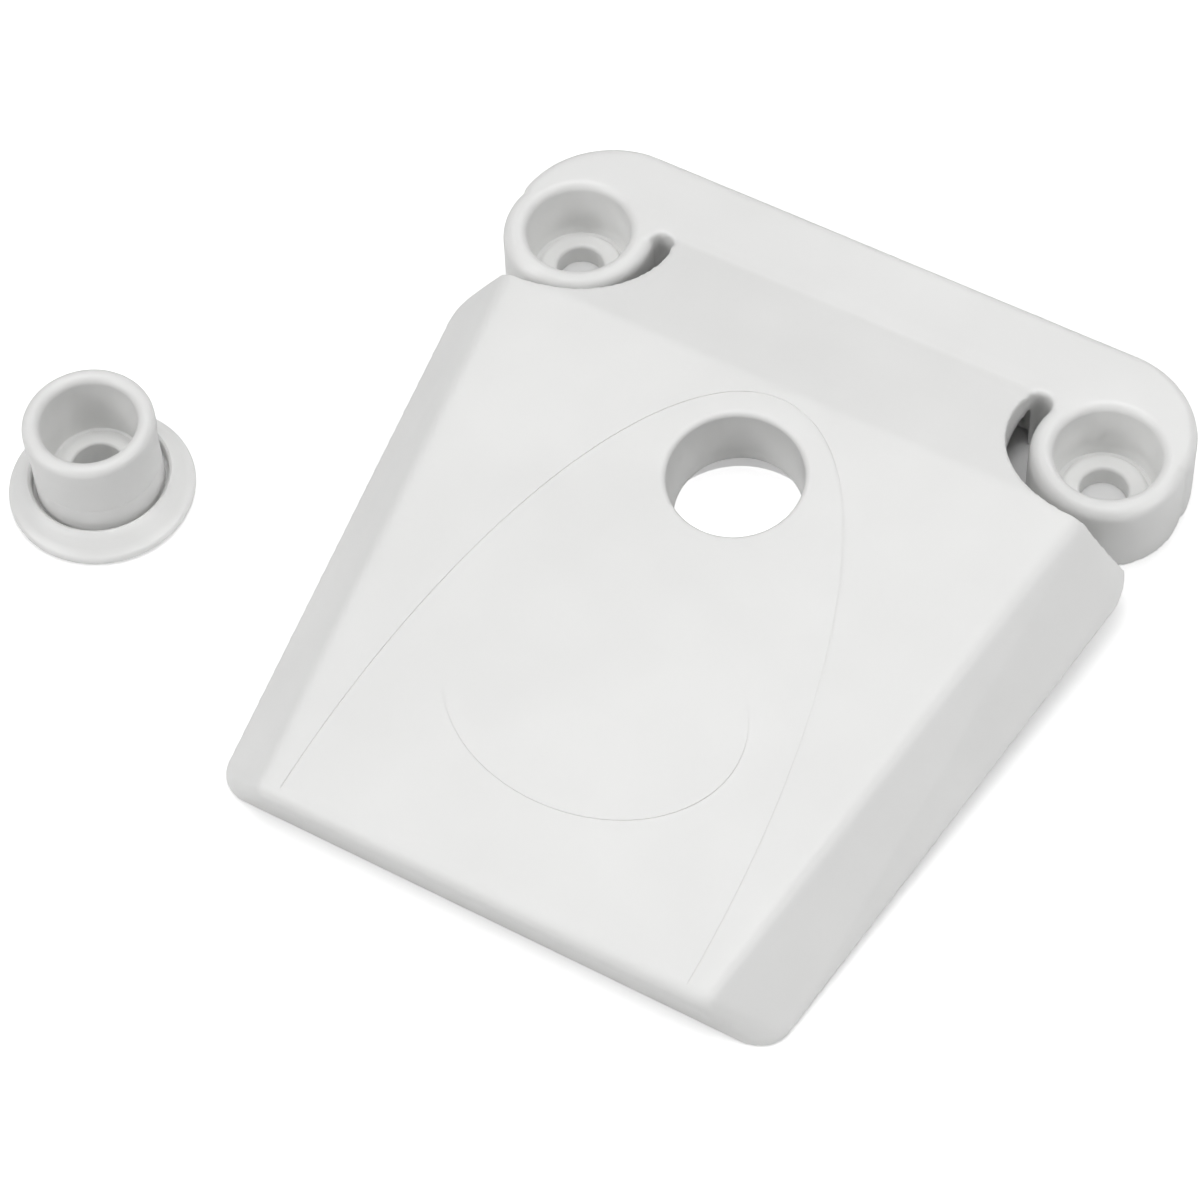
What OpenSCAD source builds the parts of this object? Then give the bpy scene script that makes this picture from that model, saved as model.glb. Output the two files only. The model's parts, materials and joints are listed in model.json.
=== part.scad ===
// Drinks-cooler latch: a screwed bar with a hinged flap, and the flanged post that the flap snaps onto.
// The origin lies on the mounting face, midway between the two screw holes. X runs along the hinge,
// Y from the free end of the flap to the back edge of the bar, and Z away from the cooler.

/* [Mounting bar] */
// Distance between the two screw holes
screw_spacing = 56; // [54:0.5:64]
// Height of the bar above the mounting face
bar_h = 8.2; // [7:0.1:10]
// Outer diameter of a screw boss
boss_d = 14.6; // [13:0.2:16]
// Distance from the line of the screw holes to the back edge
bar_back = 11.6; // [9:0.1:16]
// Radius of the back corners, seen from above
back_corner_r = 9.8; // [6:0.1:10]
// Rounding of the upper edges
bar_edge_r = 1.2; // [0.4:0.1:1.5]
// How far the bar's outer walls lean inwards on their way up
bar_draft = 0.4; // [0:0.05:0.6]
// Diameter of the well that takes the screw head
head_well_d = 10; // [8:0.1:11]
// Height of the screw's seat, in the floor of that well, above the mounting face
head_well_floor = 2.3; // [2:0.1:4]
// Diameter of the screw hole
screw_hole_d = 4.5; // [3:0.1:6]
// Depth of the groove between that seat and the wall of the well
seat_groove = 0.5; // [0.2:0.1:1]
// Thickness of the walls left round the cored pockets of the bar
bar_wall = 1.8; // [1.2:0.1:2.4]
// Number of cored pockets under the bar
bar_pockets = 4; // [2:1:6]

/* [Hinge] */
// Distance from the line of the screw holes to the hinge line
hinge_y = 3.2; // [2.5:0.1:4]
// Width of the thin web that bends
web_w = 1.6; // [1.2:0.1:2]
// Thickness of the web
web_t = 0.6; // [0.4:0.1:1]
// Width of the crescent slot beside a boss, at its inner end
slot_gap_in = 2.1; // [1.2:0.1:2.5]
// Width of the same slot in front of the boss
slot_gap_front = 2.9; // [2:0.1:4]

/* [Flap] */
// Distance from the line of the screw holes to the lower edge of the free end
flap_reach = 65.8; // [60:0.5:80]
// Height of the flap's side walls, from base to main face
tray_h = 6.8; // [6:0.1:10]
// Slope of the flap towards its free end, in degrees
flap_slope = 5.1; // [4:0.05:5.6]
// Half the width of the main face at the free end
face_half_front = 22.9; // [20:0.1:25]
// How far the flap's sides, carried on to the ridge, reach past the ends of the bar
side_reach = 0.1; // [-2:0.1:1]
// How much deeper the side walls are at the ridge than at the free end
rear_drop = 1.1; // [0:0.1:1.6]
// How far each side wall spreads from the main face to the base
side_spread = 5.4; // [2:0.1:7]
// How far the upper edge of the free end overhangs the lower edge
front_overhang = 0.9; // [0:0.1:1.5]
// Distance from the line of the screw holes to the ridge
ridge_back = 9.7; // [8:0.1:11]
// Rounding of the upper edges of the flap
flap_edge_r = 1.5; // [0.8:0.1:2]
// Radius of the front base corners, seen from above
front_corner_r = 3.2; // [2:0.1:5]
// Radius of the rear base corners, seen from above
rear_corner_r = 6.5; // [4:0.1:9]
// Thickness of the moulded walls
wall = 2; // [1.4:0.1:2.4]
// Thickness of a stiffening rib
rib_t = 1.4; // [1:0.1:2]

/* [Arch and pad] */
// Half the width of the arch line at the free end
arch_half = 20.6; // [18:0.1:21]
// Clearance between the top of the arch line and the ridge
arch_to_ridge = 0.6; // [0.5:0.1:3]
// Width of the arch line
arch_line_w = 0.4; // [0.3:0.1:1]
// Depth of the arch line
arch_line_depth = 0.25; // [0.1:0.05:0.5]
// Length of the plain oval pad
pad_l = 28.5; // [20:0.5:30]
// Width of the plain oval pad
pad_w = 22; // [14:0.5:22]
// Distance from the line of the screw holes to the middle of the pad
pad_back = 45.4; // [40:0.2:50]
// Height of the pad above the main face
pad_h = 0.25; // [0.1:0.05:0.6]

/* [Catch hole] */
// Diameter of the hole that snaps over the post
catch_hole_d = 12.5; // [11:0.1:14]
// Extra diameter of the mouth of that hole
catch_mouth_extra = 0.2; // [0.2:0.1:0.6]
// Depth of the wider mouth
catch_mouth_depth = 2.7; // [1:0.1:3]
// Distance from the line of the screw holes to the catch hole
catch_back = 19.3; // [17.5:0.1:24]
// How far the snap lip stands into the hole
snap_lip = 0.2; // [0.1:0.05:0.3]
// Height of the snap lip
snap_lip_h = 1.2; // [0.8:0.1:1.6]

/* [Catch post] */
// Clearance between the bead of the post and the catch hole, on the diameter
post_clearance = 0.1; // [0.05:0.05:0.4]
// Total height of the post
post_h = 11.2; // [9:0.1:13]
// Diameter of the flange
flange_d = 17.7; // [16:0.1:20]
// Thickness of the flange at its edge
flange_t = 1.3; // [1:0.1:2]
// Rise of the flange's top from its edge to the barrel
flange_rise = 1.6; // [0:0.1:2]
// Inner diameter of the cup
cup_d = 9.1; // [7:0.1:9.4]
// Thickness of the cup's floor
cup_floor = 4.6; // [2:0.1:5]
// Diameter of the screw hole in the floor
post_hole_d = 4.8; // [3:0.1:6]
// How far the bead stands out from the barrel
bead_out = 0.15; // [0.1:0.05:0.3]
// Place of the post beside the latch, along X
post_x = -55.5; // [-80:1:-50]
// Place of the post beside the latch, along Y
post_y = -43; // [-60:0.5:0]

/* [Hidden] */
plastic = [0.93, 0.93, 0.92];

// Overlap between joined solids, reach of a cutter beyond a face, and height of a cutter that passes everything
eps = 0.01;
over = 1;
tall = 2 * (bar_h + tray_h);
round_fn = 32;

boss_x = screw_spacing / 2;
boss_r = boss_d / 2;
bar_half = boss_x + boss_r;
corner_x = bar_half - back_corner_r;
corner_y = bar_back - back_corner_r;
well_r = head_well_d / 2;
well_chamfer = 0.6;
seat_bevel = 0.8;
seat_step = 0.45;

// The slot's outer edge is a circle that is wider than the boss and set outwards from it
slot_r = boss_r + slot_gap_front;
slot_x = boss_x - boss_r - slot_gap_in + slot_r;
web_y0 = hinge_y - web_w / 2;
web_y1 = hinge_y + web_w / 2;
web_half = slot_x - sqrt(slot_r * slot_r - web_y0 * web_y0);

// The slot's round tip starts at the web's end and runs a little into the boss
tip_drop = 0.4;
slot_tip_r = slot_gap_in / 2 + 0.15;
slot_tip_x = web_half + sqrt(slot_tip_r * slot_tip_r - tip_drop * tip_drop);
slot_tip_y = web_y0 - tip_drop;
tip_chamfer = 0.4;

// The flap is built level and then sloped about the lower edge of its free end
flap_rear = flap_reach - ridge_back;
face_half_rear = bar_half + side_reach - side_spread;
side_taper = (face_half_rear - face_half_front) / flap_rear;
collar_drop = rear_drop * (flap_reach - catch_back) / flap_rear;
edge_in = flap_edge_r * 0.62;
arch_foot = -5;
rear_lap = 5.8;
base_rim = 0.4;
rib_share = 0.6;

// Edge of the flap along the hinge: its overhang past the web's end, its depth and its size
hinge_end = 2;
hinge_edge_h = web_t + 2;
hinge_edge_rise = 0.16;
hinge_edge_w = 1;

post_r = catch_hole_d / 2 - post_clearance / 2;
barrel_r = post_r - bead_out;
bead_h = 3.4;
bead_lead = 1;

// Points of an ellipse, as one closed outline
function oval(a, b, n) = [for (i = [0:n - 1]) [a * cos(360 * i / n), b * sin(360 * i / n)]];

// A disc with a leaning wall and a rounded upper rim
module rounded_disc(r, h, edge) {
    top_r = r - bar_draft;
    rotate_extrude($fn = 64) {
        square([top_r - edge, h]);
        polygon([[0, 0], [r, 0], [top_r, h - edge], [0, h - edge]]);
        translate([top_r - edge, h - edge])
            circle(edge, $fn = round_fn);
    }
}

// One boss with its rounded rim
module boss() {
    rounded_disc(boss_r, bar_h, bar_edge_r);
}

// Back corner of the bar, only the part behind the screw holes
module bar_corner() {
    intersection() {
        translate([corner_x, corner_y, 0])
            rounded_disc(back_corner_r, bar_h, bar_edge_r);
        translate([0, 0, -eps])
            cube([bar_half + over, bar_back + over, bar_h + over]);
    }
}

// The straight body of the bar, with the room for the hinge and the round ends of the slots cut out
module bar_body() {
    difference() {
        hull() {
            bar_corner();
            mirror([1, 0, 0])
                bar_corner();
        }
        translate([-boss_x, -over, -over])
            cube([2 * boss_x, slot_tip_y + over, tall]);
        translate([-web_half, -over, -over])
            cube([2 * web_half, web_y1 + over, tall]);
        for (side = [-1, 1])
            translate([side * slot_tip_x, slot_tip_y, 0])
                slot_tip();
    }
}

// Round end of a slot, with a chamfered upper edge
module slot_tip() {
    translate([0, 0, -over])
        cylinder(r = slot_tip_r, h = tall, $fn = 48);
    translate([0, 0, bar_h - tip_chamfer])
        cylinder(r1 = slot_tip_r, r2 = slot_tip_r + tip_chamfer + eps, h = tip_chamfer + eps, $fn = 48);
}

// Well for the screw head, with a groove round the seat and a hole through it
module head_well() {
    seat_r = screw_hole_d / 2 + seat_bevel;
    translate([0, 0, head_well_floor])
        cylinder(r = well_r, h = tall, $fn = 64);
    translate([0, 0, bar_h - well_chamfer])
        cylinder(r1 = well_r, r2 = well_r + well_chamfer + eps, h = well_chamfer + eps, $fn = 64);
    difference() {
        translate([0, 0, head_well_floor - seat_groove])
            cylinder(r = well_r - seat_step, h = seat_groove + eps, $fn = 64);
        translate([0, 0, head_well_floor - seat_groove - eps])
            cylinder(r1 = well_r - seat_bevel, r2 = seat_r, h = seat_groove + eps, $fn = 64);
    }
    translate([0, 0, -over])
        cylinder(d = screw_hole_d, h = tall, $fn = 48);
}

// Cored pockets under the bar, with ribs between them
module bar_coring() {
    span = 2 * (web_half - bar_wall);
    pitch = (span + bar_wall) / bar_pockets;
    depth = bar_back - web_y1 - 2 * bar_wall;
    for (i = [0:bar_pockets - 1])
        translate([i * pitch - span / 2, web_y1 + bar_wall, -over])
            cube([pitch - bar_wall, depth, bar_h - bar_wall + over]);
}

module mounting_bar() {
    color(plastic)
        difference() {
            union() {
                bar_body();
                for (side = [-1, 1])
                    translate([side * boss_x, 0, 0])
                        boss();
            }
            for (side = [-1, 1])
                translate([side * boss_x, 0, 0])
                    head_well();
            bar_coring();
        }
}

// The thin web of plastic that joins bar and flap, at the level of the bar's top
module hinge_web() {
    color(plastic)
        translate([-web_half, web_y0, bar_h - web_t])
            cube([2 * web_half, web_w, web_t]);
}

// Moves what is built level into the flap's sloped place
module in_flap() {
    translate([0, -flap_reach, 0])
        rotate([flap_slope, 0, 0])
            children();
}

// Upper corner of the flap in its level place, with the side walls moved inwards by t
module face_corner(side, half_width, back, t) {
    translate([side * (half_width - edge_in - t), back, tray_h - flap_edge_r - t])
        sphere(flap_edge_r, $fn = round_fn);
}

// Base corner of the flap in its level place
module base_corner(side, half_width, back, r, low) {
    translate([side * half_width, back, low])
        cylinder(r = r, h = base_rim, $fn = round_fn);
}

// Outer form of the flap, or its inside when moved inwards by t
module flap_form(t) {
    low_f = face_half_front + side_spread + side_taper * front_corner_r - front_corner_r - t;
    low_r = face_half_rear + side_spread - side_taper * (rear_corner_r - rear_lap) - rear_corner_r - t;
    low = t > 0 ? -base_rim : 0;
    hull() {
        in_flap()
            for (side = [-1, 1]) {
                face_corner(side, face_half_front, flap_edge_r - front_overhang + t, t);
                face_corner(side, face_half_rear, flap_rear, t);
                base_corner(side, low_f, front_corner_r + t, front_corner_r, low);
                base_corner(side, low_r, flap_rear - rear_corner_r + rear_lap, rear_corner_r, low - rear_drop);
            }
        for (side = [-1, 1])
            translate([side * (web_half + hinge_end), web_y0 - hinge_edge_w / 2 - t, bar_h - hinge_edge_h])
                linear_extrude(hinge_edge_h + hinge_edge_rise - t)
                    square(hinge_edge_w, center = true);
    }
}

// Room for one boss: the crescent slot's outer circle, grown by t
module boss_room(side, t) {
    translate([side * slot_x, 0, -over])
        cylinder(r = slot_r + t, h = tall, $fn = 96);
}

// Collar that carries the catch hole, down to the base of the flap
module catch_collar() {
    in_flap()
        translate([0, flap_reach - catch_back, -collar_drop])
            cylinder(r = catch_hole_d / 2 + wall, h = tray_h + collar_drop - wall / 2, $fn = 64);
}

// The catch hole: a plain bore with a wider mouth, above a narrow snap lip
module catch_bore() {
    in_flap()
        translate([0, flap_reach - catch_back, 0]) {
            translate([0, 0, snap_lip_h - collar_drop])
                cylinder(d = catch_hole_d, h = tray_h, $fn = 64);
            translate([0, 0, tray_h - catch_mouth_depth])
                cylinder(d = catch_hole_d + catch_mouth_extra, h = tray_h, $fn = 64);
            translate([0, 0, -collar_drop - over])
                cylinder(d = catch_hole_d - 2 * snap_lip, h = tray_h, $fn = 64);
        }
}

// Stiffening ribs under the main face, from the collar to the walls
module flap_ribs() {
    rib_h = tray_h * rib_share;
    in_flap()
        translate([0, flap_reach - catch_back, tray_h - rib_h - wall / 2])
            for (turn = [-118, -62, 180, 0])
                rotate([0, 0, turn])
                    translate([catch_hole_d / 2 + wall / 2, -rib_t / 2, 0])
                        cube([flap_reach, rib_t, rib_h]);
}

// Fine line of the arch, cut into the main face
module arch_line() {
    rise = flap_rear - arch_to_ridge;
    in_flap()
        translate([0, 0, tray_h - arch_line_depth])
            linear_extrude(over)
                difference() {
                    polygon(oval(arch_half, rise, 120));
                    polygon(oval(arch_half - arch_line_w, rise - arch_line_w, 120));
                    translate([-arch_half - over, arch_foot - rise])
                        square([2 * (arch_half + over), rise]);
                }
}

// Plain oval pad on the main face
module oval_pad() {
    in_flap()
        translate([0, flap_reach - pad_back, tray_h - pad_h])
            linear_extrude(2 * pad_h)
                polygon(oval(pad_l / 2, pad_w / 2, 72));
}

module flap() {
    color(plastic)
        difference() {
            union() {
                difference() {
                    flap_form(0);
                    difference() {
                        flap_form(wall);
                        for (side = [-1, 1])
                            boss_room(side, wall);
                        catch_collar();
                        flap_ribs();
                    }
                }
                oval_pad();
            }
            for (side = [-1, 1])
                boss_room(side, 0);
            catch_bore();
            arch_line();
        }
}

// Half section of the post: flange, barrel with its bead, and the floor of the cup
module post_section() {
    lip = (post_r - cup_d / 2) / 2;
    edge = flange_t / 2;
    translate([post_hole_d / 2, 0])
        square([flange_d / 2 - edge - post_hole_d / 2, flange_t]);
    translate([flange_d / 2 - edge, edge])
        circle(edge, $fn = round_fn);
    polygon([
        [post_hole_d / 2, edge],
        [flange_d / 2 - edge, flange_t],
        [barrel_r, flange_t + flange_rise],
        [post_hole_d / 2, flange_t + flange_rise]
    ]);
    translate([post_hole_d / 2, 0])
        square([barrel_r - post_hole_d / 2, cup_floor]);
    translate([cup_d / 2, 0])
        square([barrel_r - cup_d / 2, post_h - lip]);
    polygon([
        [cup_d / 2, post_h - bead_h],
        [barrel_r, post_h - bead_h],
        [post_r, post_h - bead_h + bead_lead],
        [post_r, post_h - lip],
        [cup_d / 2, post_h - lip]
    ]);
    translate([post_r - lip, post_h - lip])
        circle(lip, $fn = round_fn);
}

module catch_post() {
    color(plastic)
        translate([post_x, post_y, 0])
            rotate_extrude($fn = 96)
                post_section();
}

mounting_bar();
hinge_web();
flap();
catch_post();
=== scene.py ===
# %% [markdown]
# # A white drinks-cooler latch and its catch post
# The real latch is one injection moulding of white polypropylene: a screwed bar, a thin line that bends
# like a hinge, and a hollow flap with a hole that snaps over a separate post. The CAD model gives each
# size and place. This script models the same moulding with the soft edges that a mould leaves, gives it
# its plastic, and lights it as on a white studio table.

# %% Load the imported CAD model, which stays fixed
import json
import math

import bmesh
import bpy
from mathutils import Matrix, Vector

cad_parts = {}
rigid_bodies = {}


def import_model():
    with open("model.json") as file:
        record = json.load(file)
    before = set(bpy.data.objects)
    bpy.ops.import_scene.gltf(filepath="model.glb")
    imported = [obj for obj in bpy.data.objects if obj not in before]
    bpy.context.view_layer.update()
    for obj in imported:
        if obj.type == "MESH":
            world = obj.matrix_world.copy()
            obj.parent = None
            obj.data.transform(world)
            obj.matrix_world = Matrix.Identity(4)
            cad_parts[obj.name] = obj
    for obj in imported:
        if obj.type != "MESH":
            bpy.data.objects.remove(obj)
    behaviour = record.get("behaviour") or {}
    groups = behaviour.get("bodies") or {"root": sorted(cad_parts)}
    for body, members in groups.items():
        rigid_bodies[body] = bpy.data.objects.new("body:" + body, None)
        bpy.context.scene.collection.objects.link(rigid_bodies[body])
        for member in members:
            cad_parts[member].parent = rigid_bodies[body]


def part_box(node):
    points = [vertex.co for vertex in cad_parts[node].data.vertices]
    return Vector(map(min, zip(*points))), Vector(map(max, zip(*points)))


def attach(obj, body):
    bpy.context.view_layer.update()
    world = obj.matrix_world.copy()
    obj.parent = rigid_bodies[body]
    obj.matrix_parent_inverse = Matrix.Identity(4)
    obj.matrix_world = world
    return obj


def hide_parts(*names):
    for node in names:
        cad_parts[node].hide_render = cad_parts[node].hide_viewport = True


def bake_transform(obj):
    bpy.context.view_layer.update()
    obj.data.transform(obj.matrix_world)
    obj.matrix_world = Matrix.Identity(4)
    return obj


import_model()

for o in list(bpy.data.objects):
    if o.name in ("Cube", "Light", "Camera"):
        bpy.data.objects.remove(o)
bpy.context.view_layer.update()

# %% [markdown]
# ## Working in millimetres
# The latch is only 71 mm wide, and Blender's mesh tools have small built-in distances meant for bigger
# things. So each piece is modelled with one Blender unit to a millimetre, and is shrunk to metres when
# it is finished. The values below have the CAD model's names. They are its own sizes too, apart from the
# bar's draft and the flap's rear base corners, which follow the photograph more closely.

# %% Sizes of the bar and the hinge
screw_spacing = 56
bar_h = 8.2
boss_r = 7.3
bar_back = 11.6
back_corner_r = 9.8
bar_edge_r = 1.2
bar_draft = 0.05
head_well_r = 5
head_well_floor = 2.3
screw_hole_r = 2.25
seat_groove = 0.5
bar_wall = 1.8
hinge_y = 3.2
web_w = 1.6
web_t = 0.6
slot_gap_in = 2.1
slot_gap_front = 2.9
boss_x = screw_spacing / 2
slot_r = boss_r + slot_gap_front
slot_x = boss_x - boss_r - slot_gap_in + slot_r
web_y0 = hinge_y - web_w / 2
web_y1 = hinge_y + web_w / 2
web_half = slot_x - math.sqrt(slot_r ** 2 - web_y0 ** 2)
tip_drop = 0.4
slot_tip_r = slot_gap_in / 2 + 0.15
slot_tip_x = web_half + math.sqrt(slot_tip_r ** 2 - tip_drop ** 2)
slot_tip_y = web_y0 - tip_drop
print("web half width, mm:", round(web_half, 2))

# %% Sizes of the flap
flap_reach = 65.8
tray_h = 6.8
flap_slope = math.radians(5.1)
face_half_front = 22.9
side_reach = 0.1
rear_drop = 1.1
side_spread = 5.4
face_half_rear = boss_x + boss_r + side_reach - side_spread
front_overhang = 0.9
ridge_back = 9.7
flap_edge_r = 1.5
ridge_corner_r = 2.2
front_corner_r = 3.2
rear_corner_r = 7.5
rear_lap = 5
wall = 2
rib_t = 1.4
catch_r = 6.25
catch_back = 19.3
flap_rear = flap_reach - ridge_back
side_taper = (face_half_rear - face_half_front) / flap_rear
collar_drop = rear_drop * (flap_reach - catch_back) / flap_rear
tilt = Matrix.Translation((0, -flap_reach, 0)) @ Matrix.Rotation(flap_slope, 4, "X")

# %% [markdown]
# ## A few hand tools
# An operator acts on whatever is selected, so every step begins by letting go of everything. The other
# helpers are the moves of hand modelling: join, cut, fuse, take the hull, and turn a profile on a lathe.

# %% Selecting and finishing
def let_go():
    if bpy.context.object and bpy.context.object.mode != "OBJECT":
        bpy.ops.object.mode_set(mode="OBJECT")
    bpy.ops.object.select_all(action="DESELECT")


def hold(*objects):
    let_go()
    for piece in objects:
        piece.select_set(True)
    bpy.context.view_layer.objects.active = objects[0]
    return objects[0]


def lay(piece, matrix):
    """Move a piece by a matrix and write the new place into its mesh."""
    hold(piece)
    bpy.context.view_layer.update()
    piece.matrix_world = matrix @ piece.matrix_world
    bpy.ops.object.transform_apply(location=True, rotation=True, scale=True)
    return piece


def apply(piece, kind, **settings):
    """Add a modifier, set it and apply it."""
    hold(piece)
    modifier = piece.modifiers.new(kind.title(), kind)
    for name, value in settings.items():
        setattr(modifier, name, value)
    bpy.ops.object.modifier_apply(modifier=modifier.name)


# %% Cutting, fusing and hulls
def cut(piece, *tools):
    for tool in tools:
        apply(piece, "BOOLEAN", object=tool, operation="DIFFERENCE", solver="EXACT")
        bpy.data.objects.remove(tool)


def fuse(piece, *others):
    for other in others:
        apply(piece, "BOOLEAN", object=other, operation="UNION", solver="EXACT")
        bpy.data.objects.remove(other)


def hull_of(parts):
    """Join some solids and stretch one skin round them all."""
    piece = hold(*parts)
    bpy.ops.object.join()
    bpy.ops.object.mode_set(mode="EDIT")
    bpy.ops.mesh.select_all(action="SELECT")
    bpy.ops.mesh.convex_hull()
    bpy.ops.mesh.normals_make_consistent(inside=False)
    bpy.ops.object.mode_set(mode="OBJECT")
    return piece


# %% Turning on a lathe, and cutting blocks
def turned(profile, centre=(0, 0), closed=False, segments=128):
    """Draw a circle, then extrude, lift and scale it from one point of the profile to the next.

    Each point is a (radius, height) pair.
    """
    let_go()
    radius, height = profile[0]
    fill = "NOTHING" if closed else "NGON"
    bpy.ops.mesh.primitive_circle_add(
        vertices=segments, radius=radius, fill_type=fill, location=(*centre, height))
    piece = bpy.context.object
    bpy.ops.object.transform_apply(location=True, rotation=True, scale=True)
    bpy.ops.object.mode_set(mode="EDIT")
    bpy.ops.mesh.select_all(action="SELECT")
    extrude = bpy.ops.mesh.extrude_edges_move if closed else bpy.ops.mesh.extrude_region_move
    for (r0, z0), (r1, z1) in zip(profile, profile[1:]):
        extrude(TRANSFORM_OT_translate={"value": (0, 0, z1 - z0)})
        bpy.ops.transform.resize(value=(r1 / r0, r1 / r0, 1), center_override=(*centre, z1))
    bpy.ops.mesh.select_all(action="SELECT")
    bpy.ops.mesh.remove_doubles(threshold=0.0005)
    bpy.ops.mesh.normals_make_consistent(inside=False)
    bpy.ops.object.mode_set(mode="OBJECT")
    return piece


def block(low, high):
    """A cube between two corners."""
    let_go()
    middle = [(a + b) / 2 for a, b in zip(low, high)]
    bpy.ops.mesh.primitive_cube_add(size=1, location=middle, scale=[b - a for a, b in zip(low, high)])
    bpy.ops.object.transform_apply(location=True, rotation=True, scale=True)
    return bpy.context.object


def arc(radius, height, r, start, end, steps=8):
    """Points of a rounding of radius r about (radius, height), between two angles in degrees."""
    angles = [math.radians(start + (end - start) * i / steps) for i in range(steps + 1)]
    return [(radius + r * math.cos(a), height + r * math.sin(a)) for a in angles]


# %% [markdown]
# ## The mounting bar
# On the real latch the bar is a low, hollow block with a boss at each end. Its corners are large arcs
# and its upper edges are rounded, so two turned discs with a hull between them give its body. The discs
# lean inwards by the draft that lets a moulding leave its mould.

# %% The bar's body and bosses
cutter_foot = -1
cutter_top = 30


def rounded_disc(centre, r, edge):
    top_r = r - bar_draft
    return turned([(r, 0)] + arc(top_r - edge, bar_h - edge, edge, 0, 90), centre)


corner_x = boss_x + boss_r - back_corner_r
corner_y = bar_back - back_corner_r
bar = hull_of([rounded_disc((side * corner_x, corner_y), back_corner_r, bar_edge_r) for side in (-1, 1)])
front_room = block((-60, -40, cutter_foot), (60, slot_tip_y, cutter_top))
cut(bar, front_room, block((-web_half, -1, cutter_foot), (web_half, web_y1, cutter_top)))
tip_edge = 0.35
tip_profile = (
    [(slot_tip_r, cutter_foot)]
    + arc(slot_tip_r + tip_edge, bar_h - tip_edge, tip_edge, 180, 90)
    + [(slot_tip_r + tip_edge, cutter_top)]
)
for side in (-1, 1):
    cut(bar, turned(tip_profile, (side * slot_tip_x, slot_tip_y), segments=48))
fuse(bar, *[rounded_disc((side * boss_x, 0), boss_r, bar_edge_r) for side in (-1, 1)])
print("bar body:", len(bar.data.polygons), "faces")

# %% The cored pockets underneath
pockets = 4
span = 2 * (web_half - bar_wall)
pitch = (span + bar_wall) / pockets
for i in range(pockets):
    left = i * pitch - span / 2
    right = left + pitch - bar_wall
    cut(bar, block((left, web_y1 + bar_wall, cutter_foot), (right, bar_back - bar_wall, bar_h - bar_wall)))

# %% [markdown]
# ## The flap
# The flap is a hollow tray: a flat face that slopes to the free end, side walls that lean outwards, and
# a second slope from the ridge down to the hinge. A hull round small spheres at the upper corners and
# flat discs at the base corners gives all those faces at once, with the corner arcs growing towards the
# base as they do in the mould. The same hull, moved inwards by the wall, gives the hollow.

# %% The flap's outer and inner form
base_disc_t = 0.4
ball_inset = 0.62


def flap_form(t):
    parts = []
    low_f = face_half_front + side_spread + side_taper * front_corner_r - front_corner_r - t
    low_r = face_half_rear + side_spread - side_taper * (rear_corner_r - rear_lap) - rear_corner_r - t
    low = -base_disc_t if t else 0
    for side in (-1, 1):
        for half, back, r in ((face_half_front, flap_edge_r - front_overhang + t, flap_edge_r),
                              (face_half_rear, flap_rear, ridge_corner_r)):
            let_go()
            place = (side * (half - r * ball_inset - t), back, tray_h - r - t)
            bpy.ops.mesh.primitive_uv_sphere_add(segments=48, ring_count=24, radius=r, location=place)
            parts.append(lay(bpy.context.object, tilt))
        for x, y, r, z in ((low_f, front_corner_r + t, front_corner_r, low),
                           (low_r, flap_rear - rear_corner_r + rear_lap, rear_corner_r, low - rear_drop)):
            parts.append(lay(turned([(r, z), (r, z + base_disc_t)], (side * x, y), segments=96), tilt))
        x = side * (web_half + 2)
        y = web_y0 - 0.5 - t
        parts.append(block((x - 0.5, y - 0.5, bar_h - web_t - 2), (x + 0.5, y + 0.5, bar_h + 0.16 - t)))
    return hull_of(parts)


def boss_room(side, t):
    return turned([(slot_r + t, cutter_foot), (slot_r + t, cutter_top)], (side * slot_x, 0), segments=192)


flap = flap_form(0)
hollow = flap_form(wall)
cut(hollow, boss_room(-1, wall), boss_room(1, wall))
print("flap form:", len(flap.data.polygons), "faces")

# %% [markdown]
# Under the face, a collar carries the catch hole and ribs tie it to the walls. They are what is left of
# the tray when the hollow is cut out, so they are cut from the hollow first.

# %% The collar and the ribs
collar_r = catch_r + wall
collar = turned([(collar_r, -collar_drop), (collar_r, tray_h - wall / 2)], (0, flap_reach - catch_back))
cut(hollow, lay(collar, tilt))
rib_h = tray_h * 0.6
for turn in (-118, -62, 180, 0):
    rib = block((catch_r + wall / 2, -rib_t / 2, 0), (flap_reach, rib_t / 2, rib_h))
    at_hole = Matrix.Translation((0, flap_reach - catch_back, tray_h - rib_h - wall / 2))
    cut(hollow, lay(rib, tilt @ at_hole @ Matrix.Rotation(math.radians(turn), 4, "Z")))
cut(flap, hollow, boss_room(-1, 0), boss_room(1, 0))

# %% [markdown]
# ## One moulding with soft edges
# Bar, hinge line and flap leave the mould as one piece of plastic, and every edge on it is a little
# round. So the three are laid into each other, skinned again by a fine voxel remesh, and smoothed a few
# times. Decimate then takes the spare faces out of the flat parts, where they show nothing.

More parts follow.
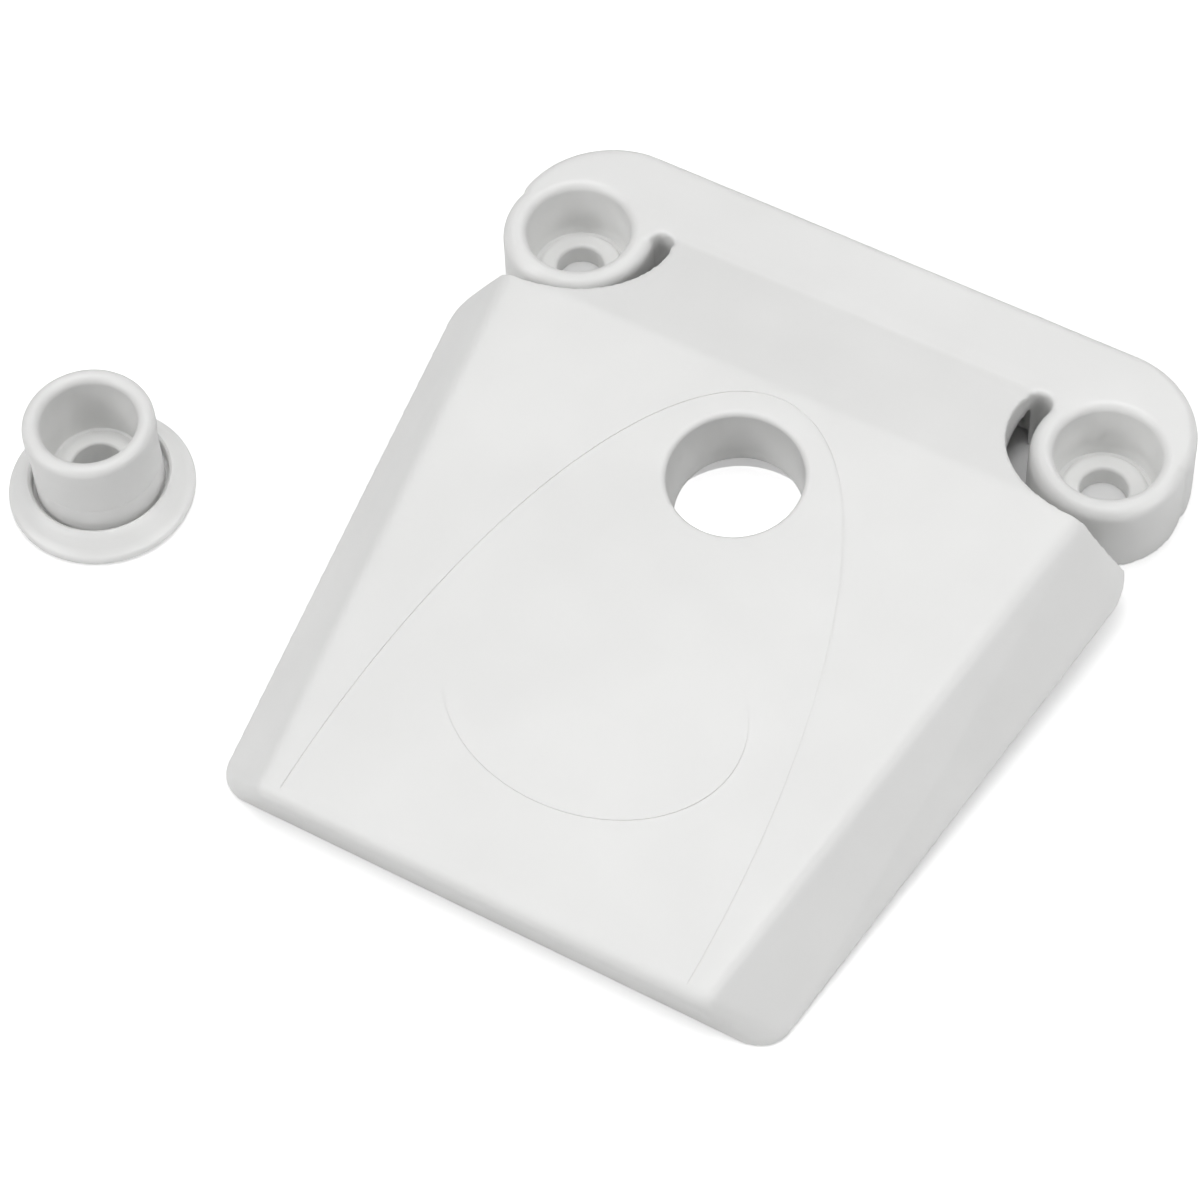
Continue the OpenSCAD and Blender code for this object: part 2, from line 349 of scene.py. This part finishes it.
# %% Lay the three together and soften them
slope_start = web_y0 + 0.54
slope_rise = 0.4
web_lap = 0.8
web = block((-web_half, web_y0 - web_lap, bar_h - web_t), (web_half, web_y1 + web_lap, bar_h))
hold(web)
bpy.ops.object.mode_set(mode="EDIT")
bpy.ops.mesh.select_all(action="SELECT")
bpy.ops.mesh.bisect(plane_co=(0, slope_start, 0), plane_no=(0, 1, 0))
bpy.ops.mesh.select_all(action="DESELECT")
edit = bmesh.from_edit_mesh(web.data)
for v in edit.verts:
    if v.co.y < web_y0 - 0.7 and v.co.z > bar_h - 0.1:
        v.select_set(True)
bmesh.update_edit_mesh(web.data)
bpy.ops.transform.translate(value=(0, 0, slope_rise))
bpy.ops.object.mode_set(mode="OBJECT")
latch = hold(bar, flap, web)
bpy.ops.object.join()
voxel = 0.22
triangles_kept = 220000
apply(latch, "REMESH", mode="VOXEL", voxel_size=voxel)
faces_before = len(latch.data.polygons)
apply(latch, "SMOOTH", factor=0.5, iterations=5)
apply(latch, "DECIMATE", ratio=triangles_kept / (2 * faces_before))
print("latch:", faces_before, "faces remeshed,", len(latch.data.polygons), "kept")

# %% [markdown]
# ## Wells, catch hole, arch line and pad
# These are finer than a voxel or have crisp round walls, so they come after the remesh. Each round one is
# turned as a cutter, in one profile, as a form tool would cut it.
#
# Each boss has a deep well for a screw head, with a softly rounded mouth. A raised ring at its floor, the
# seat for the screw head, stands round the screw hole, and a narrow groove runs between ring and wall.

# %% The wells and the screw holes
mouth_r = 0.9
seat = head_well_floor
seat_edge = 0.4
groove_floor = seat - seat_groove - 0.3
groove_in, groove_out = 4.25, 4.65
well_profile = (
    [(screw_hole_r, cutter_foot), (screw_hole_r, seat - 0.5)]
    + arc(screw_hole_r + seat_edge, seat - seat_edge, seat_edge, 180, 90, 5)
    + [(3.2, seat), (3.6, seat - 0.06), (3.9, seat - 0.2), (4.1, seat - 0.45), (groove_in, groove_floor)]
    + [(groove_out, groove_floor), (4.85, seat - 0.35), (4.95, seat), (head_well_r, seat + 0.6)]
    + arc(head_well_r + mouth_r, bar_h - mouth_r, mouth_r, 180, 98)
    + [(head_well_r + 1.6, bar_h + 0.12), (head_well_r + 1.6, cutter_top)]
)
wells = [turned(well_profile, (side * boss_x, 0), segments=160) for side in (-1, 1)]

# %% [markdown]
# The catch hole has a soft mouth, a slightly wider upper part and, near its foot, a low lip that snaps
# under the bead of the post.

# %% The catch hole
step = tray_h - 2.7
mouth = 0.55
hole_profile = (
    [(catch_r + 0.2, -collar_drop - 1), (catch_r + 0.2, 0.15 - collar_drop)]
    + [(catch_r - 0.2, 0.5 - collar_drop), (catch_r - 0.22, 0.9 - collar_drop)]
    + [(catch_r - 0.1, 1.25 - collar_drop)]
    + [(catch_r, 1.6 - collar_drop), (catch_r, step - 0.7), (catch_r + 0.1, step)]
    + arc(catch_r + 0.1 + mouth, tray_h - mouth, mouth, 180, 98)
    + [(catch_r + 1.1, tray_h + 0.07), (catch_r + 1.1, tray_h + 5)]
)
hole = lay(turned(hole_profile, (0, flap_reach - catch_back), segments=160), tilt)

# %% [markdown]
# The face carries a fine arch, drawn by one shallow groove, and a low plain oval pad. The groove is cut by
# a thin upright wall along the arch: an oval ring, opened at the free end, drawn upwards and given its
# thickness.

# %% The groove of the arch
def oval(a, b, y, z, fill, segments=256):
    let_go()
    bpy.ops.mesh.primitive_circle_add(vertices=segments, radius=1, fill_type=fill, location=(0, y, z))
    ring = bpy.context.object
    ring.scale = (a, b, 1)
    bpy.ops.object.transform_apply(location=True, rotation=True, scale=True)
    bpy.ops.object.mode_set(mode="EDIT")
    bpy.ops.mesh.select_all(action="SELECT")
    return ring


arch_half = 20.6
arch_rise = flap_rear - 0.6
line_w = 0.28
line_d = 0.1
arch_foot = -4
groove = oval(arch_half - line_w / 2, arch_rise - line_w / 2, 0, tray_h - line_d, "NOTHING")
bpy.ops.mesh.bisect(plane_co=(0, arch_foot, 0), plane_no=(0, 1, 0), clear_inner=True)
bpy.ops.mesh.select_all(action="SELECT")
bpy.ops.mesh.extrude_edges_move(TRANSFORM_OT_translate={"value": (0, 0, 1)})
bpy.ops.object.mode_set(mode="OBJECT")
apply(groove, "SOLIDIFY", thickness=line_w, offset=0)
lay(groove, tilt)
print("groove cutter:", len(groove.data.polygons), "faces")

# %% The pad
pad_h = 0.12
pad_sink = 0.4
pad_wide, pad_deep, pad_back = 28.5, 22, 45.4
pad = oval(pad_wide / 2, pad_deep / 2, flap_reach - pad_back, tray_h - pad_sink, "NGON")
bpy.ops.mesh.extrude_region_move(TRANSFORM_OT_translate={"value": (0, 0, pad_sink + pad_h)})
bpy.ops.mesh.select_all(action="SELECT")
bpy.ops.mesh.normals_make_consistent(inside=False)
bpy.ops.object.mode_set(mode="OBJECT")
lay(pad, tilt)
cut(latch, hole, *wells)
fuse(latch, pad)
cut(latch, groove)
print("latch with line and pad:", len(latch.data.polygons), "faces")

# %% [markdown]
# ## Bar, hinge and flap as three riding pieces
# The flap has to swing, so the one skin is cut along the two edges of the bending line. A copy meets a
# box there and gives the hinge, the skin loses the same box and falls into bar and flap. The cut faces
# lie face to face, so no seam shows.

# %% Cut the moulding in three
def hinge_box():
    reach = web_half + 0.3
    return block((-reach, web_y0, cutter_foot), (reach, web_y1, cutter_top))


hold(latch)
bpy.ops.object.duplicate()
hinge = bpy.context.object
keep_box = hinge_box()
apply(hinge, "BOOLEAN", object=keep_box, operation="INTERSECT", solver="EXACT")
bpy.data.objects.remove(keep_box)
cut(latch, hinge_box())
hold(latch)
bpy.ops.object.mode_set(mode="EDIT")
bpy.ops.mesh.select_all(action="SELECT")
bpy.ops.mesh.separate(type="LOOSE")
bpy.ops.object.mode_set(mode="OBJECT")
halves = sorted(bpy.context.selected_objects, key=lambda o: len(o.data.polygons))[-2:]
halves.sort(key=lambda o: min(v.co.y for v in o.data.vertices))
flap, bar = halves
for o in bpy.context.selected_objects:
    if o not in halves:
        print("crumb removed:", len(o.data.polygons), "faces")
        bpy.data.objects.remove(o)
print("flap", len(flap.data.polygons), "bar", len(bar.data.polygons), "hinge", len(hinge.data.polygons))

# %% [markdown]
# The hinge line bends in use, and a mesh bends only at its edges. So it gets a row of cuts along its
# width.

# %% Cuts along the hinge
strips = 12
hold(hinge)
bpy.ops.object.mode_set(mode="EDIT")
for i in range(1, strips):
    bpy.ops.mesh.select_all(action="SELECT")
    bpy.ops.mesh.bisect(plane_co=(0, web_y0 + web_w * i / strips, 0), plane_no=(0, 1, 0))
bpy.ops.object.mode_set(mode="OBJECT")

# %% [markdown]
# ## The catch post
# The post is a cup on a domed flange, a round part, so it is turned from one closed profile. Its rim is
# a full, soft rounding, the barrel is a little thinner than the bead, and a narrow groove runs round the
# barrel's foot, with the dome of the flange rising beside it.

# %% The post
post_h = 11.2
flange_r = 8.85
flange_t = 1.3
post_r = catch_r - 0.05
barrel_r = post_r - 0.15
cup_r = 4.55
cup_floor = 4.1
hole_r = 2.4
low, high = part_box("catch_post")
post_centre = ((low.x + high.x) * 500, (low.y + high.y) * 500)
lip = (post_r - cup_r) / 2
post_profile = (
    [(hole_r + 0.15, 0), (flange_r - 0.6, 0)]
    + arc(flange_r - flange_t / 2, flange_t / 2, flange_t / 2, -80, 75)
    + [(8.0, 1.75), (7.45, 2.4), (7.1, 2.72), (6.8, 2.84), (6.58, 2.72), (6.45, 2.4), (6.4, 1.7)]
    + [(barrel_r + 0.03, 1.6), (barrel_r, 4.95), (barrel_r - 0.04, 5.0), (barrel_r, 5.05)]
    + [(barrel_r, post_h - 3.6)]
    + [(barrel_r + 0.05, post_h - 3.2), (post_r - 0.04, post_h - 2.6), (post_r, post_h - 2.2)]
    + arc(post_r - lip, post_h - lip, lip, 0, 180, 20)
    + [(cup_r, post_h - 2.5), (cup_r - 0.03, cup_floor - 0.1), (cup_r - 0.12, cup_floor - 0.32)]
    + [(cup_r - 0.35, cup_floor - 0.42), (cup_r - 0.7, cup_floor - 0.28), (cup_r - 1.1, cup_floor)]
    + [(hole_r + 0.5, cup_floor)]
    + arc(hole_r + 0.3, cup_floor - 0.3, 0.3, 90, 180, 5)
    + [(hole_r, 0.15), (hole_r + 0.15, 0)]
)
post = turned(post_profile, post_centre, closed=True, segments=192)
print("post:", len(post.data.polygons), "faces")

# %% [markdown]
# ## The plastic
# The latch is white polypropylene, injection moulded in a mould with a fine satin finish. That gives the
# eye a soft, milky white with a broad, weak shine: light enters a little way and comes out again, and the
# tiny grain of the mould blurs what it mirrors. Polypropylene's index of refraction is 1.49.

# %% Colours and nodes
def srgb(code):
    """A hex colour, from sRGB to Blender's linear values."""
    parts = [int(code[i:i + 2], 16) / 255 for i in (1, 3, 5)]
    return [*(c / 12.92 if c <= 0.04045 else ((c + 0.055) / 1.055) ** 2.4 for c in parts), 1]


def node(tree, kind, settings=(), **links):
    """Add a node, set its properties, then link or set its inputs by name."""
    made = tree.nodes.new(kind)
    for name, value in dict(settings).items():
        setattr(made, name, value)
    for name, value in links.items():
        socket = made.inputs[name.replace("_", " ")]
        if isinstance(value, bpy.types.NodeSocket):
            tree.links.new(value, socket)
        else:
            socket.default_value = value
    return made


# %% White polypropylene
def moulded_polypropylene():
    material = bpy.data.materials.new("moulded_white_polypropylene")
    material.use_nodes = True
    tree = material.node_tree
    tree.nodes.clear()
    place = node(tree, "ShaderNodeTexCoord").outputs["Object"]
    # Flow of the melt: faint cloudy changes of tone, some 15 mm across
    cloud = node(tree, "ShaderNodeTexNoise", Vector=place, Scale=1 / 0.015, Detail=2.0, Roughness=0.5)
    tone = node(tree, "ShaderNodeValToRGB", Fac=cloud.outputs["Fac"])
    tone.color_ramp.elements[0].position = 0.3
    tone.color_ramp.elements[0].color = srgb("#E3E3E2")
    tone.color_ramp.elements[1].position = 0.7
    tone.color_ramp.elements[1].color = srgb("#E8E8E7")
    # Grain of the mould: about 0.3 mm, drawn coarser than the real 0.05 mm so that it shows
    grain = node(tree, "ShaderNodeTexNoise", Vector=place, Scale=1 / 0.0003, Detail=3.0, Roughness=0.6)
    dull = node(tree, "ShaderNodeMapRange", Value=grain.outputs["Fac"], To_Min=0.36, To_Max=0.5)
    bump = node(tree, "ShaderNodeBump", Height=grain.outputs["Fac"], Strength=0.12, Distance=0.00002)
    shader = node(
        tree, "ShaderNodeBsdfPrincipled", Base_Color=tone.outputs["Color"], Roughness=dull.outputs["Result"],
        Normal=bump.outputs["Normal"], IOR=1.49)
    output = node(tree, "ShaderNodeOutputMaterial")
    tree.links.new(shader.outputs["BSDF"], output.inputs["Surface"])
    return material


white = moulded_polypropylene()

# %% [markdown]
# ## Finish the pieces
# Each piece is shrunk from millimetres to metres, its size written into its mesh, shaded smooth except
# at real edges, named and told which body it rides on, and the CAD solid it stands for is hidden.

# %% Shrink, shade, name and ride
edge_angle = 38


def finish(piece, name, body, *nodes):
    lay(piece, Matrix.Diagonal((0.001, 0.001, 0.001, 1)))
    hold(piece)
    bpy.ops.object.shade_smooth_by_angle(angle=math.radians(edge_angle))
    piece.name = name
    piece.data.materials.clear()
    piece.data.materials.append(white)
    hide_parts(*nodes)
    if body:
        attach(piece, body)
    faces = sum(len(p.vertices) - 2 for p in piece.data.polygons)
    print(name, "-", faces, "triangles")


finish(bar, "latch_bar", "fixed", "mounting_bar")
finish(flap, "latch_flap", "flap", "flap")
finish(post, "post_cup", "fixed", "catch_post")
finish(hinge, "bending_line", None, "hinge_web")
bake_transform(hinge)

# %% [markdown]
# ## Table, light and camera
# The photograph's ground is pure white right up to the plastic, and inside the catch hole too, yet the
# plastic's walls get no strong light back from below. So the table is a pale card that the camera sees
# brighter than it shines on the latch. A plain mat without this glow lies hidden under the bar. Under the
# catch hole lies a disc that glows still brighter to the camera: painted light that hides the shade there.

# %% Card that looks brighter to the camera
def card(name, colour, glow):
    material = bpy.data.materials.new(name)
    material.use_nodes = True
    tree = material.node_tree
    tree.nodes.clear()
    ray = node(tree, "ShaderNodeLightPath")
    seen = node(tree, "ShaderNodeMapRange", Value=ray.outputs["Is Camera Ray"], To_Max=glow)
    shader = node(
        tree, "ShaderNodeBsdfPrincipled", Base_Color=srgb(colour), Roughness=0.9, Specular_IOR_Level=0.1,
        Emission_Color=srgb("#FFFFFF"), Emission_Strength=seen.outputs["Result"])
    output = node(tree, "ShaderNodeOutputMaterial")
    tree.links.new(shader.outputs["BSDF"], output.inputs["Surface"])
    return material


def stage_piece(name, material):
    piece = bpy.context.object
    piece.name = name
    piece.data.materials.append(material)


# %% The table, the mat and the disc
let_go()
bpy.ops.mesh.primitive_plane_add(size=6, location=(0, 0, -0.00004))
stage_piece("studio_table", card("matt_white_card", "#E8E8E8", 0.4))
bpy.ops.mesh.primitive_plane_add(size=1, location=(0, 0.002, -0.00002))
bpy.context.object.scale = (0.062, 0.014, 1)
bpy.ops.object.transform_apply(location=True, rotation=True, scale=True)
stage_piece("hidden_mat", card("plain_card", "#E8E8E8", 0))
# This disc glows far brighter than the table to the camera: painted light that makes the floor in the catch
# hole white, where the flap's shade lies.
bpy.ops.mesh.primitive_circle_add(
    vertices=64, radius=0.008, fill_type="NGON", location=(0, -0.0193, -0.00002))
stage_piece("hole_glow_disc", card("hole_glow_card", "#E8E8E8", 0.9))

# %% The lights
def soft_box(name, turn, rise, power, size=0.5, distance=1):
    """A square lamp that looks at the latch from a turn about z and a rise above the table, in degrees."""
    aim = Vector((0, -0.03, 0))
    about_z = Matrix.Rotation(math.radians(turn), 3, "Z")
    about_y = Matrix.Rotation(math.radians(-rise), 3, "Y")
    towards = about_z @ about_y @ Vector((1, 0, 0))
    lamp = bpy.data.lights.new(name, "AREA")
    lamp.shape = "SQUARE"
    lamp.size = size
    lamp.energy = power
    made = bpy.data.objects.new(name, lamp)
    made.location = aim + distance * towards
    made.rotation_mode = "QUATERNION"
    made.rotation_quaternion = towards.to_track_quat("Z", "Y")
    bpy.context.scene.collection.objects.link(made)


soft_box("overhead_softbox", 0, 89.9, 5.05)
soft_box("right_softbox", 0, 35, 3.1)
soft_box("back_softbox", 90, 35, 2.1)
soft_box("left_front_softbox", 232, 35, 4.4)
world = bpy.data.worlds.new("studio_air")
bpy.context.scene.world = world
world.use_nodes = True
air = world.node_tree.nodes["Background"]
air.inputs["Color"].default_value = (1, 1, 1, 1)
air.inputs["Strength"].default_value = 0.02
bpy.context.scene.view_settings.view_transform = "Standard"

# %% The camera
camera_place = (0.1070, -0.21188, 0.32117)
camera_turn, camera_rise, camera_roll = 32.541, 56.359, 3.604
lens = bpy.data.cameras.new("camera")
lens.sensor_width = 36
lens.lens = 125.35
lens.clip_start, lens.clip_end = 0.01, 20
camera = bpy.data.objects.new("camera", lens)
bpy.context.scene.collection.objects.link(camera)
camera.matrix_world = (
    Matrix.Translation(camera_place)
    @ Matrix.Rotation(math.radians(camera_turn), 4, "Z")
    @ Matrix.Rotation(math.radians(90 - camera_rise), 4, "X")
    @ Matrix.Rotation(math.radians(-camera_roll), 4, "Z")
)
bpy.context.scene.camera = camera
